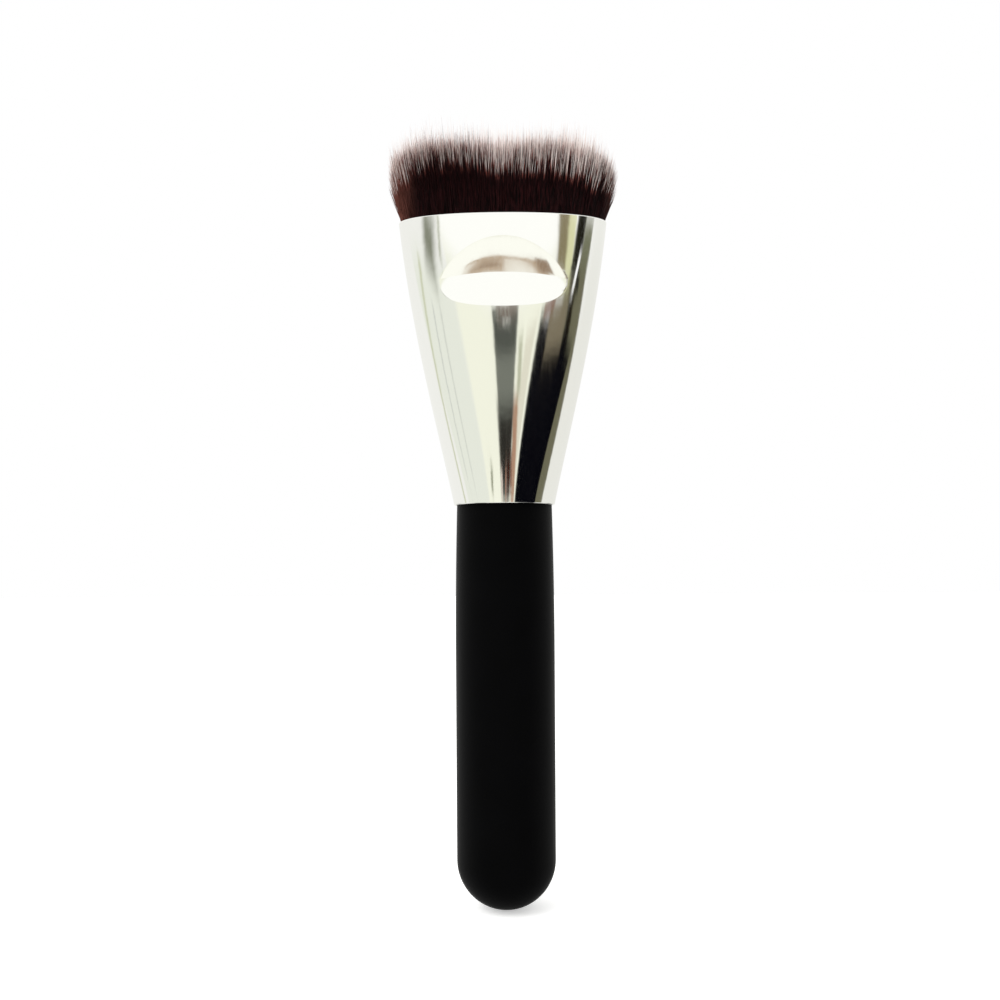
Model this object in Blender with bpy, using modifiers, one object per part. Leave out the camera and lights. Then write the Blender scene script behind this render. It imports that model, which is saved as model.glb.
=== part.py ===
"""Foundation brush with a turned handle, an oval chrome ferrule and a flat, dense tuft.

The brush stands upright on the round end of its handle, which is the origin. The axis is +Z,
the wide side of the ferrule's mouth lies along X, and the front face looks along -Y. Lengths
are in metres.

Order of assembly, from the bottom: handle with its tenon, sleeve of adhesive round the tenon,
ferrule, cast resin plug, and the tuft, whose root is bound with thread and sits on the plug.
"""

import math
import random

import bmesh
import bpy
from mathutils import Vector

# Fits shared by all the pieces
CLEARANCE = 0.00025
WELD_DISTANCE = 0.000005

# Handle: the length that shows, then the tenon that the ferrule hides
HANDLE_LENGTH = 0.0774
HANDLE_BELLY_RADIUS = 0.0095
HANDLE_TAPER_LENGTH = 0.0290
LAND_HEIGHT = 0.0030
TENON_LENGTH = 0.0180
TENON_CHAMFER = 0.0007
GLUE_GROOVE_WIDTH = 0.0020
GLUE_GROOVE_DEPTH = 0.0006
GLUE_GROOVE_COUNT = 2

# Ferrule: thin sheet, round at the neck and oval at the mouth
FERRULE_LENGTH = 0.0541
FERRULE_WALL = 0.0003
FERRULE_NECK_RADIUS = 0.00965
FERRULE_MOUTH_WIDTH = 0.0399
FERRULE_MOUTH_DEPTH = 0.0157
FLARE_BULGE_SHARE = 0.42
FLARE_DELAY_SHARE = 1.5
FLATTENING_DELAY_SHARE = 2
ELLIPSE_POWER_SHARE = 2
MOUTH_POWER_SHARE = 2.15

# Dimple: a lens pressed into the front face and the back face
DIMPLE_WIDTH = 0.0238
DIMPLE_RISE = 0.0065
DIMPLE_FALL = 0.0067
DIMPLE_DEPTH = 0.0015
DIMPLE_DROP = 0.0122
DIMPLE_BOW = 0.0013
UPPER_POINT_SHARE = 0.75
LOWER_POINT_SHARE = 0.40
UPPER_CREASE_SHARE = 1.2
LOWER_CREASE_SHARE = 0.3

# Tuft: the packed root inside the ferrule, and the fibres that stand out of it
ROOT_LENGTH = 0.0240
ROOT_SINK = 0.0008
FIBRE_LENGTH = 0.0157
FIBRE_COLUMNS = 32
FIBRE_ROWS = 12
FIBRE_KNEE_SHARE = 0.55
FIBRE_KNEE_WIDTH_SHARE = 0.80
FIBRE_SPREAD_X_SHARE = 0.17
FIBRE_SPREAD_Y_SHARE = 0.20
FIBRE_ROUNDING_SHARE = 0.14
FIBRE_RAGGED_SHARE = 0.10
FIBRE_SWAY_SHARE = 0.30
FIBRE_SEED = 7

# Thread: one length wound round the foot of the root
THREAD_DIAMETER = 0.0005
THREAD_GAP = 0.00045
THREAD_TURNS = 4
THREAD_ABOVE_FOOT = 0.0010

# Adhesive: the least thickness of the sleeve between tenon and ferrule
ADHESIVE_WALL = 0.0005
CUTTER_OVERRUN = 0.0010

# Facets
TURNED_STEPS = 40
END_ARC_STEPS = 8
TAPER_STEPS = 4
SHEET_STEPS = 56
NECK_RINGS = 9
LOWER_RINGS = 6
UPPER_RINGS = 6
RIM_RINGS = 3
FILLER_RINGS = 4
LOOP_STEPS = 24
SMOOTH_ANGLE = math.radians(30)

# Heights and insets that follow from the sizes above
MOUTH_HEIGHT = HANDLE_LENGTH + FERRULE_LENGTH
LAND_TOP = HANDLE_LENGTH + LAND_HEIGHT
TENON_TOP = HANDLE_LENGTH + TENON_LENGTH
DIMPLE_HEIGHT = MOUTH_HEIGHT - DIMPLE_DROP
CREASE_HEIGHT = DIMPLE_HEIGHT + DIMPLE_BOW
ROOT_TOP = MOUTH_HEIGHT - ROOT_SINK
ROOT_FOOT = MOUTH_HEIGHT - ROOT_LENGTH
INNER_FIT = FERRULE_WALL + CLEARANCE
THREAD_RADIUS = THREAD_DIAMETER / 2
THREAD_PITCH = THREAD_DIAMETER + THREAD_GAP
THREAD_FOOT = ROOT_FOOT + THREAD_ABOVE_FOOT
THREAD_HEAD = THREAD_FOOT + THREAD_TURNS * THREAD_PITCH + THREAD_DIAMETER + 2 * CLEARANCE
THREAD_FLOOR = INNER_FIT + THREAD_DIAMETER + 2 * CLEARANCE


def clear_scene():
    for scene_object in list(bpy.data.objects):
        bpy.data.objects.remove(scene_object)


def new_collection(name):
    collection = bpy.data.collections.new(name)
    bpy.context.scene.collection.children.link(collection)
    return collection


def new_material(name, colour, roughness, metallic=0):
    material = bpy.data.materials.new(name)
    material.use_nodes = True
    shader = material.node_tree.nodes["Principled BSDF"]
    shader.inputs["Base Color"].default_value = (*colour, 1)
    shader.inputs["Roughness"].default_value = roughness
    shader.inputs["Metallic"].default_value = metallic
    return material


def new_object(name, data, collection, material=None):
    made = bpy.data.objects.new(name, data)
    collection.objects.link(made)
    if material:
        data.materials.append(material)
    return made


def mesh_from(bm, name):
    """Turn a bmesh into a smooth mesh that keeps its hard edges."""
    bmesh.ops.recalc_face_normals(bm, faces=bm.faces)
    mesh = bpy.data.meshes.new(name)
    bm.to_mesh(mesh)
    bm.free()
    mesh.shade_smooth()
    mesh.set_sharp_from_angle(angle=SMOOTH_ANGLE)
    return mesh


def spread(start, end, count):
    """Count values from start to end, both ends included."""
    return [start + (end - start) * i / (count - 1) for i in range(count)]


# The ferrule's form, which every piece inside it follows


def share_up(height):
    """0 at the ferrule's neck, 1 at its mouth."""
    return (height - HANDLE_LENGTH) / FERRULE_LENGTH


def half_width(height):
    """The sheet flares from the neck, and swells a little beyond a straight cone."""
    share = share_up(height)
    flare = share + FLARE_BULGE_SHARE * share**FLARE_DELAY_SHARE * (1 - share)
    return FERRULE_NECK_RADIUS + (FERRULE_MOUTH_WIDTH / 2 - FERRULE_NECK_RADIUS) * flare


def half_depth(height):
    """Flattening starts slowly, so the tube stays round low down and thins towards the mouth."""
    flattening = share_up(height) ** FLATTENING_DELAY_SHARE
    return FERRULE_NECK_RADIUS + (FERRULE_MOUTH_DEPTH / 2 - FERRULE_NECK_RADIUS) * flattening


def dimple_depth(x, height):
    """How deep the pressed lens is here. Two slopes meet in a crease that bows upwards."""
    across = 1 - (2 * x / DIMPLE_WIDTH) ** 2
    if across <= 0:
        return 0
    above = height - DIMPLE_HEIGHT - DIMPLE_BOW * across
    if above > 0:
        reach, steepness = DIMPLE_RISE * across**UPPER_POINT_SHARE, UPPER_CREASE_SHARE
    else:
        reach, steepness = DIMPLE_FALL * across**LOWER_POINT_SHARE, LOWER_CREASE_SHARE
    away = min(1, abs(above) / reach)
    return DIMPLE_DEPTH * across * (1 - away * (steepness + (1 - steepness) * away))


def sheet_point(angle, height, inset=0):
    """A point on the ferrule's outer face, or inset towards the axis from it."""
    width, depth = half_width(height), half_depth(height)
    power = ELLIPSE_POWER_SHARE + (MOUTH_POWER_SHARE - ELLIPSE_POWER_SHARE) * share_up(height)
    cosine, sine = math.cos(angle), math.sin(angle)
    along_x = math.copysign(abs(cosine) ** (2 / power), cosine)
    along_y = math.copysign(abs(sine) ** (2 / power), sine)
    normal = Vector((
        math.copysign(abs(along_x) ** (power - 1) / width, cosine),
        math.copysign(abs(along_y) ** (power - 1) / depth, sine),
        0,
    )).normalized()
    point = Vector((width * along_x, depth * along_y, height)) - inset * normal
    point.y -= math.copysign(dimple_depth(point.x, height), point.y)
    return point


def sheet_ring(height, inset, angles):
    return [sheet_point(angle, height, inset) for angle in angles]


def even_angles(count):
    return [math.tau * i / count for i in range(count)]


def ferrule_heights():
    """Wide rings on the cone, close rings over the dimple."""
    cone_top = CREASE_HEIGHT - DIMPLE_FALL
    dimple_top = CREASE_HEIGHT + DIMPLE_RISE
    cone = spread(HANDLE_LENGTH, cone_top, NECK_RINGS)
    lower = spread(cone_top, CREASE_HEIGHT, LOWER_RINGS)
    upper = spread(CREASE_HEIGHT, dimple_top, UPPER_RINGS)
    rim = spread(dimple_top, MOUTH_HEIGHT, RIM_RINGS)
    return cone + lower[1:] + upper[1:] + rim[1:]


def add_loft(bm, rings):
    """Skin the rings of points from the bottom up, and return the rows of vertices."""
    rows = [[bm.verts.new(point) for point in ring] for ring in rings]
    for lower, upper in zip(rows, rows[1:]):
        for i in range(len(lower)):
            j = (i + 1) % len(lower)
            bm.faces.new((lower[i], lower[j], upper[j], upper[i]))
    return rows


def make_ferrule(collection):
    """An open loft, round to oval, given the thickness of the sheet."""
    angles = even_angles(SHEET_STEPS)
    bm = bmesh.new()
    add_loft(bm, [sheet_ring(height, 0, angles) for height in ferrule_heights()])
    chrome = new_material("polished_chrome", (0.80, 0.81, 0.78), 0.06, 1)
    ferrule = new_object("ferrule", mesh_from(bm, "ferrule"), collection, chrome)
    shell = ferrule.modifiers.new("sheet", "SOLIDIFY")
    shell.thickness = FERRULE_WALL
    shell.offset = -1
    shell.use_even_offset = True
    return ferrule


# The handle and its tenon


def land_radius(height):
    """The handle's land fills the round neck of the ferrule, less the clearance."""
    return min(half_width(height), half_depth(height)) - INNER_FIT


def tenon_radius():
    """What the flattened ferrule leaves beside the adhesive at the tenon's top."""
    return land_radius(TENON_TOP) - ADHESIVE_WALL - CLEARANCE


def tenon_profile(gap):
    """Outline of the tenon from its top down to the land, with its glue grooves.

    A gap moves the outline outwards, for the bore that receives the tenon.
    """
    radius = tenon_radius() + gap
    spacing = (TENON_TOP - LAND_TOP) / (GLUE_GROOVE_COUNT + 1)
    half_groove = GLUE_GROOVE_WIDTH / 2 - gap
    points = []
    for i in range(GLUE_GROOVE_COUNT):
        middle = TENON_TOP - (i + 1) * spacing
        points += [
            (radius, middle + half_groove),
            (radius - GLUE_GROOVE_DEPTH, middle + half_groove),
            (radius - GLUE_GROOVE_DEPTH, middle - half_groove),
            (radius, middle - half_groove),
        ]
    return points


def body_radius(height):
    """A parallel body that draws in slightly towards the ferrule."""
    neck = land_radius(HANDLE_LENGTH)
    start = HANDLE_LENGTH - HANDLE_TAPER_LENGTH
    share = max(0, (height - start) / HANDLE_TAPER_LENGTH)
    return HANDLE_BELLY_RADIUS + (neck - HANDLE_BELLY_RADIUS) * share**2


def handle_profile():
    """Half outline of the handle, from the tenon's top down to the round end."""
    top = tenon_radius()
    points = [
        (0, TENON_TOP),
        (top - TENON_CHAMFER, TENON_TOP),
        (top, TENON_TOP - TENON_CHAMFER),
        *tenon_profile(0),
        (top, LAND_TOP),
        (land_radius(LAND_TOP), LAND_TOP),
    ]
    taper = spread(HANDLE_LENGTH, HANDLE_LENGTH - HANDLE_TAPER_LENGTH, TAPER_STEPS)
    points += [(body_radius(height), height) for height in taper]
    for i in range(END_ARC_STEPS + 1):
        angle = math.pi / 2 * i / END_ARC_STEPS
        radius = HANDLE_BELLY_RADIUS * math.cos(angle) if i < END_ARC_STEPS else 0
        points.append((radius, HANDLE_BELLY_RADIUS * (1 - math.sin(angle))))
    return points


def turned(name, profile, collection, material=None):
    """Spin a half outline, drawn at +X from top to bottom, about the axis."""
    mesh = bpy.data.meshes.new(name)
    points = [(radius, 0, height) for radius, height in profile]
    mesh.from_pydata(points, [(i, i + 1) for i in range(len(points) - 1)], [])
    made = new_object(name, mesh, collection, material)
    screw = made.modifiers.new("turning", "SCREW")
    screw.steps = TURNED_STEPS
    screw.render_steps = TURNED_STEPS
    screw.use_merge_vertices = True
    screw.merge_threshold = WELD_DISTANCE
    screw.use_smooth_shade = True
    return made


def make_handle(collection):
    lacquer = new_material("matte_black_lacquer", (0.006, 0.006, 0.007), 0.42)
    return turned("handle", handle_profile(), collection, lacquer)


# The fillings inside the ferrule


def make_filling(name, foot, head, collection, material):
    """A solid that fills the ferrule's bore between two heights."""
    angles = even_angles(SHEET_STEPS)
    bm = bmesh.new()
    heights = spread(foot, head, FILLER_RINGS)
    rows = add_loft(bm, [sheet_ring(height, INNER_FIT, angles) for height in heights])
    bm.faces.new(reversed(rows[0]))
    bm.faces.new(rows[-1])
    return new_object(name, mesh_from(bm, name), collection, material)


def make_adhesive(collection, cutters):
    """The sleeve of adhesive keeps the shape of the tenon that was pushed into it."""
    glue = new_material("set_adhesive", (0.62, 0.50, 0.30), 0.35)
    foot = LAND_TOP + CLEARANCE
    sleeve = make_filling("tenon_adhesive", foot, TENON_TOP, collection, glue)
    radius = tenon_radius() + CLEARANCE
    bore = [
        (0, TENON_TOP + CUTTER_OVERRUN),
        (radius, TENON_TOP + CUTTER_OVERRUN),
        *tenon_profile(CLEARANCE),
        (radius, foot - CUTTER_OVERRUN),
        (0, foot - CUTTER_OVERRUN),
    ]
    cutter = turned("tenon_bore", bore, cutters)
    cutter.hide_render = True
    cutter.display_type = "WIRE"
    cut = sleeve.modifiers.new("tenon_bore", "BOOLEAN")
    cut.operation = "DIFFERENCE"
    cut.solver = "EXACT"
    cut.object = cutter
    return sleeve


def make_plug(collection):
    resin = new_material("cast_resin", (0.70, 0.62, 0.42), 0.20)
    foot = TENON_TOP + CLEARANCE
    head = ROOT_FOOT - CLEARANCE
    return make_filling("root_plug", foot, head, collection, resin)


# The tuft


def add_root_cap(bm):
    """A net of square cells drawn onto the oval top of the root, one cell for each fibre.

    Returns the net's faces, and the angles at which its rim meets the oval.
    """
    net = bmesh.ops.create_grid(bm, x_segments=FIBRE_COLUMNS, y_segments=FIBRE_ROWS, size=1)
    rim = set()
    for vert in net["verts"]:
        across, along = vert.co.x, vert.co.y
        disc_x = across * math.sqrt(1 - along**2 / 2)
        disc_y = along * math.sqrt(1 - across**2 / 2)
        angle = math.atan2(disc_y, disc_x)
        reach = math.hypot(disc_x, disc_y)
        if vert.is_boundary:
            rim.add(angle % math.tau)
            reach = 1
        edge = sheet_point(angle, ROOT_TOP, INNER_FIT)
        vert.co = (edge.x * reach, edge.y * reach, ROOT_TOP)
    return list(bm.faces), sorted(rim)


def root_rings(angles):
    """The packed root, with the waist that the thread draws in near its foot.

    Above the waist it has rings at the ferrule's own heights, so that it fits the dimple.
    """
    between = [height for height in ferrule_heights() if THREAD_HEAD < height < ROOT_TOP]
    outline = [
        (ROOT_FOOT, INNER_FIT),
        (THREAD_FOOT, INNER_FIT),
        (THREAD_FOOT, THREAD_FLOOR),
        (THREAD_HEAD, THREAD_FLOOR),
        *[(height, INNER_FIT) for height in (THREAD_HEAD, *between, ROOT_TOP)],
    ]
    return [sheet_ring(height, inset, angles) for height, inset in outline]


def spread_out(point, rise):
    """Where the fibre that starts at this point has got to, this share of the way up."""
    return Vector((
        point.x * (1 + FIBRE_SPREAD_X_SHARE * rise),
        point.y * (1 + FIBRE_SPREAD_Y_SHARE * rise),
        point.z,
    ))


def fibre_length(centre, draw):
    """Cut flat, a little shorter round the rim, and ragged."""
    rim = sheet_point(0, ROOT_TOP, INNER_FIT).x
    edge = sheet_point(math.pi / 2, ROOT_TOP, INNER_FIT).y
    nearness = math.hypot(centre.x / rim, centre.y / edge)
    rounding = FIBRE_ROUNDING_SHARE * nearness**4
    return FIBRE_LENGTH * (1 - rounding - FIBRE_RAGGED_SHARE * draw.random())


def grow_fibres(bm, cells):
    """Each cell of the net grows one tapering fibre, which stays inside its own column."""
    draw = random.Random(FIBRE_SEED)
    grown = bmesh.ops.extrude_discrete_faces(bm, faces=cells)["faces"]
    for face in grown:
        base = face.calc_center_median()
        sway = Vector((draw.uniform(-1, 1), draw.uniform(-1, 1), 0)) * FIBRE_SWAY_SHARE
        cell = Vector((
            max(abs(vert.co.x - base.x) for vert in face.verts),
            max(abs(vert.co.y - base.y) for vert in face.verts),
            0,
        ))
        length = fibre_length(base, draw)
        knee = spread_out(base, FIBRE_KNEE_SHARE)
        for vert in face.verts:
            offset = spread_out(vert.co, FIBRE_KNEE_SHARE) - knee
            vert.co = knee + offset * FIBRE_KNEE_WIDTH_SHARE
            vert.co.z = ROOT_TOP + length * FIBRE_KNEE_SHARE
        tip = bmesh.ops.poke(bm, faces=[face])["verts"][0]
        tip.co = spread_out(base, 1)
        tip.co.x += cell.x * sway.x
        tip.co.y += cell.y * sway.y
        tip.co.z = ROOT_TOP + length
    return len(grown)


def make_tuft(collection):
    """Hair packed solid inside the ferrule, fanning out above it as separate fibres."""
    bm = bmesh.new()
    cells, angles = add_root_cap(bm)
    rows = add_loft(bm, root_rings(angles))
    bm.faces.new(reversed(rows[0]))
    bmesh.ops.remove_doubles(bm, verts=bm.verts, dist=WELD_DISTANCE)
    count = grow_fibres(bm, cells)
    print("fibres:", count)
    hair = new_material("dark_brown_fibre", (0.018, 0.006, 0.005), 0.45)
    return new_object("bristle_tuft", mesh_from(bm, "bristle_tuft"), collection, hair)


# The binding


def thread_route():
    """Points of one unbroken helix round the root, with a straight tail at each end."""
    inset = INNER_FIT + THREAD_RADIUS
    start = THREAD_FOOT + CLEARANCE + THREAD_RADIUS
    points = []
    for i in range(THREAD_TURNS * LOOP_STEPS + 1):
        turn = i / LOOP_STEPS
        points.append(sheet_point(math.tau * turn, start + THREAD_PITCH * turn, inset))
    first = (points[0] - points[1]).normalized() * THREAD_DIAMETER
    last = (points[-1] - points[-2]).normalized() * THREAD_DIAMETER
    return [points[0] + first, *points, points[-1] + last]


def least_gap(points):
    """The least gap between turns that are at least half a turn apart along the thread."""
    gaps = [
        (one - other).length
        for i, one in enumerate(points)
        for other in points[i + LOOP_STEPS // 2:]
    ]
    return min(gaps) - THREAD_DIAMETER


def make_binding(collection):
    route = thread_route()
    print("least gap in the binding, mm:", round(least_gap(route) * 1000, 3))
    curve = bpy.data.curves.new("binding_thread", "CURVE")
    curve.dimensions = "3D"
    curve.bevel_depth = THREAD_RADIUS
    curve.bevel_resolution = 1
    curve.use_fill_caps = True
    spline = curve.splines.new("POLY")
    spline.points.add(len(route) - 1)
    for knot, point in zip(spline.points, route):
        knot.co = (*point, 1)
    thread = new_material("waxed_thread", (0.75, 0.72, 0.64), 0.60)
    return new_object("binding_thread", curve, collection, thread)


def main():
    clear_scene()
    parts = new_collection("foundation_brush")
    cutters = new_collection("cutters")
    brush = new_object("brush", None, parts)
    make_handle(parts)
    make_adhesive(parts, cutters)
    make_ferrule(parts)
    make_plug(parts)
    make_binding(parts)
    make_tuft(parts)
    for piece in (*parts.objects, *cutters.objects):
        if piece != brush:
            piece.parent = brush


main()
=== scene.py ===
# %% [markdown]
# A foundation brush, dressed for its picture
#
# This lesson gives a make-up brush its real surfaces. The brush has six pieces: a lacquered
# handle with a hidden tenon, a sleeve of adhesive, a ferrule of thin chromed sheet, a resin plug,
# a tuft of fine fibres and the thread that binds the tuft's root. The solids come from the
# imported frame, in metres, with +Z up, the front towards -Y and the handle's end at the origin.
# Every piece made here takes its place and its size from that frame.

# %% Load the frame and note its size
import math

import bmesh
import bpy
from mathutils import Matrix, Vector


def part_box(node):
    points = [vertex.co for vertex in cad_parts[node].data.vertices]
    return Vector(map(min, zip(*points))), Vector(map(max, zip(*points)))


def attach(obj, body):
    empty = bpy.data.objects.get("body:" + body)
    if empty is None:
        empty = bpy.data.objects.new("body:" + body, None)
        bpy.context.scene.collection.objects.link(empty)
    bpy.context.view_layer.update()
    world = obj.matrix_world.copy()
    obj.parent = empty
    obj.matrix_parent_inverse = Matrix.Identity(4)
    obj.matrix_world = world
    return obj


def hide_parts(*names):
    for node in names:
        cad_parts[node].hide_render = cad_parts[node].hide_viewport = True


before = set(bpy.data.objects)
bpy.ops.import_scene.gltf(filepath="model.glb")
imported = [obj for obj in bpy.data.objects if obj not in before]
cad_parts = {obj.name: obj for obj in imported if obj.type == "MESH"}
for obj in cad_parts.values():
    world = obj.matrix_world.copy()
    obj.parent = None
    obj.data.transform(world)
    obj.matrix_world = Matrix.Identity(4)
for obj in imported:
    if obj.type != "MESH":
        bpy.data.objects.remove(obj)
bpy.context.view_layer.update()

MM = 0.001
scene = bpy.context.scene


def in_mm(*lengths):
    return [round(length / MM, 2) for length in lengths]


handle_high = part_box("handle")[1]
ferrule_low, ferrule_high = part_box("ferrule")
tuft_low, tuft_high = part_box("bristle_tuft")
thread_low, thread_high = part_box("binding_thread")
print("nodes:", sorted(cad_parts))
print("ferrule, mm:", in_mm(*ferrule_low, *ferrule_high))

# %% [markdown]
# A few helpers serve the whole lesson. Colours are picked on a screen, so they are sRGB hex
# values, while a renderer adds up light, so it needs linear values. One helper adds a node to a
# tree, sets its properties and fills its inputs. An input takes a plain value, another node's
# socket, or a whole node, whose first output in use is then taken. It works for materials and
# for Geometry Nodes alike, and keeps each step of a tree on a line or two.

# %% Helpers for colours, nodes and pieces
def linear(hex_colour):
    """An sRGB colour such as #ff8000 as linear red, green, blue and alpha."""
    shares = [int(hex_colour[i:i + 2], 16) / 255 for i in (1, 3, 5)]
    return (*[s / 12.92 if s <= 0.04045 else ((s + 0.055) / 1.055) ** 2.4 for s in shares], 1)


def in_use(sockets, name=None):
    """The socket at this number, or the first one in use, with this name if one is given."""
    if isinstance(name, int):
        return sockets[name]
    return next(socket for socket in sockets if socket.enabled and name in (None, socket.name))


def plug(tree, node, inputs):
    """Fill a node's inputs with values, or with links from sockets or nodes."""
    for name, value in inputs.items():
        if isinstance(value, bpy.types.Node):
            value = in_use(value.outputs)
        if isinstance(value, bpy.types.NodeSocket):
            tree.links.new(value, in_use(node.inputs, name))
        else:
            in_use(node.inputs, name).default_value = value
    return node


def add_node(tree, kind, inputs=None, **settings):
    """Add a node, set its properties and fill its inputs."""
    node = tree.nodes.new(kind)
    for name, value in settings.items():
        setattr(node, name, value)
    return plug(tree, node, inputs or {})


def new_material(name):
    """A material with its tree, its shader and its Object coordinates."""
    material = bpy.data.materials.new(name)
    material.use_nodes = True
    tree = material.node_tree
    place = add_node(tree, "ShaderNodeTexCoord").outputs["Object"]
    return material, tree, tree.nodes["Principled BSDF"], place


def new_piece(name, mesh, material):
    piece = bpy.data.objects.new(name, mesh)
    scene.collection.objects.link(piece)
    mesh.materials.clear()
    mesh.materials.append(material)
    return piece


def belongs(piece, node):
    """Let a piece stand for a node of the frame and ride with it."""
    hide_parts(node)
    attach(piece, "root")


print("black lacquer in linear light:", [round(v, 4) for v in linear("#060607")])

# %% [markdown]
# The camera comes first, because every later choice is judged through it. The photograph was
# taken level with the upper end of the handle, from about 220 mm away: the mouth's near rim
# curves up in the middle, so the eye is well below it. The view is 192.3 mm wide at the brush. A
# vertical shift keeps the camera level while the brush sits in the frame as in the picture.

# %% Camera
EYE_DISTANCE = 220 * MM
EYE_HEIGHT = 68.8 * MM
EYE_SIDE = -0.9 * MM
EYE_ROLL = math.radians(0.35)
VIEW_WIDTH = 192.3 * MM
VIEW_SHIFT = 0.05
SENSOR_WIDTH = 36

camera_data = bpy.data.cameras.new("camera")
camera_data.sensor_width = SENSOR_WIDTH
camera_data.lens = SENSOR_WIDTH * EYE_DISTANCE / VIEW_WIDTH
camera_data.shift_y = VIEW_SHIFT
camera_data.clip_start = MM
camera = bpy.data.objects.new("camera", camera_data)
camera.location = (EYE_SIDE, -EYE_DISTANCE, EYE_HEIGHT)
camera.rotation_euler = (math.pi / 2, EYE_ROLL, 0)
scene.collection.objects.link(camera)
scene.camera = camera
scene.view_settings.view_transform = "Standard"
print("lens, mm:", round(camera_data.lens, 2))

# %% [markdown]
# Polished chrome has no colour of its own: what it shows is the room. A photographer lights it
# with a white tent and places dark and pale cards round it, and their streaks give the metal
# its form. The cards could be planes round the brush, but they would stand in the way of
# other views. So they are drawn in the world, by direction, and only glossy rays see them. The
# camera sees plain white, and matte surfaces get even white light.
#
# A direction is an azimuth and an elevation. Azimuth 0 points at the camera, and 90 to the
# right. Each card has a centre, a half size, a soft edge and two skews. The lean is how many
# degrees it moves sideways for each degree of height, because the ferrule's cone shows upright
# things slanted. The slope is how many degrees it rises for each degree to the right. Cards
# further down the list lie over those above.

# %% Cards for the chrome
CARDS = [
    # name, azimuth, elevation, half width, half height, edge, lean, slope, colour
    ("floor shade", 0, -68, 180, 32, 10, 0, 0, "#141414"),
    ("right back screen", 125, -4, 42, 14, 14, 0, 0, "#e7e7e2"),
    ("ceiling", 0, 60, 180, 43, 3, 0, 0, "#fffffc"),
    ("front cream screen", -2, 2, 32, 15.5, 4, 0, 0, "#f2f3e3"),
    ("low white screen", 0, -8, 22, 9.3, 1.5, 0, 0, "#fefef6"),
    ("left pale screen", -60, 2, 27, 10, 5, 0, 0.12, "#e5e8de"),
    ("left edge line", -85, 1.5, 1.8, 9, 2.5, 1.7, 0, "#c6caaf"),
    ("left thin line", -68.5, 2, 0.5, 6, 1.0, 1.2, 0, "#b4b8b4"),
    ("left second line", -56.5, 3.5, 0.4, 6, 0.9, 0.9, 0, "#b7bab4"),
    ("left olive card", -48.5, 15.3, 4.5, 3.4, 6, 1.6, 0, "#7d8070"),
    ("left narrow card", -37, 17.5, 0.6, 2.2, 1.2, 1.2, 0, "#9a9e84"),
    ("left low card", -22.5, 3, 1.4, 1.0, 1.4, 2.0, 0, "#6f7358"),
    ("right olive screen", 68.5, 3, 12.5, 10, 3, -1.25, 0, "#6a6854"),
    ("right brown card", 59, 6.8, 3, 2.6, 3, -1.0, -0.2, "#1c170d"),
    ("right black flag", 47.6, 0, 26.1, 9.0, 2.2, 0.35, -0.24, "#05050a"),
    ("right gap card", 18.5, 9, 3.5, 5, 2, 0.3, 0, "#dddac9"),
    ("right grey panel", 44, 9.9, 8.5, 1.9, 2.2, -0.6, -0.17, "#7b725f"),
    ("right copper edge", 33, 13.4, 4.5, 0.5, 1.0, 0, -0.12, "#7a5240"),
    ("right pale card", 41.5, 16.3, 4, 2.6, 1.8, -0.8, -0.3, "#d6d6ab"),
    ("right pale bar", 34.5, 18, 3.3, 2.6, 1.8, -0.9, -0.3, "#82785a"),
    ("right dark bar", 52.5, 15, 5.5, 3.4, 2.0, -0.3, -0.22, "#18170f"),
    ("right far card", 66, 12.3, 7, 1.8, 3.0, -0.6, -0.15, "#70725c"),
    ("right slit", 56, 11.4, 1.9, 1.7, 1.0, 0.75, -0.3, "#ffffff"),
    ("right blot", 61, 9.6, 1.8, 0.6, 1.2, -1.5, -0.2, "#101014"),
    ("copper card", 14.4, 5.7, 2.8, 4.2, 1.8, -0.75, 0, "#ab866e"),
    ("copper shade", 11.5, 4.2, 1.6, 1.6, 1.2, -0.9, 0, "#7a4c38"),
    ("pale olive card", 13.3, 12, 1.5, 2.2, 1.8, -0.5, 0, "#b4b79f"),
    ("middle grey card", 1.9, 9.7, 7.6, 7.2, 1.4, -0.1, 0, "#74776e"),
    ("middle upper shade", 1.5, 15, 7.2, 1.4, 1.8, -0.1, 0, "#474a44"),
    ("middle low card", 1.7, 6.2, 8.3, 3.2, 3.0, -0.1, 0, "#2a2824"),
    ("middle brow", 2.2, 16.8, 6.0, 0.6, 0.8, 0, 0, "#6e6257"),
    ("middle spark", 2.0, 16.0, 2.4, 0.10, 0.3, 0, 0, "#e8e8e0"),
    ("middle pink stripe", -4.5, 3.6, 1.2, 1.2, 0.8, 0, 0, "#dccdc2"),
    ("middle brown stripe", 2.8, 3.6, 1.0, 1.4, 1.0, 0, 0, "#a27c6a"),
    ("middle wine stripe", 7.0, 3.8, 1.6, 1.6, 1.0, 0, 0, "#3d1c12"),
    ("low beige card", 1.1, -8.6, 2.2, 3.0, 0.7, -0.2, 0.43, "#b9a48d"),
    ("low brown card", 3.5, -6.3, 2.1, 2.3, 0.8, 0.2, 0.43, "#8f7862"),
    ("low pale card", -0.5, -9.4, 0.6, 2.3, 0.5, 0, 0, "#e8e2d6"),
    ("deep left flag", -60, -38, 16, 24, 10, 0, 0, "#4a4c47"),
    ("deep right flag", 55, -36, 22, 22, 10, 0, 0, "#1a1a1d"),
    ("deep back left flag", -140, -38, 12, 24, 10, 0, 0, "#3a3b38"),
    ("deep back right flag", 135, -38, 14, 24, 10, 0, 0, "#4d4c46"),
]
print("cards in the room:", len(CARDS))

# %% World light
WHITE = linear("#ffffff")
ROOM_COLOUR = linear("#efefec")
ROOM_STRENGTH = 1.08
SOFT_LIGHT_STRENGTH = 1

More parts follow.
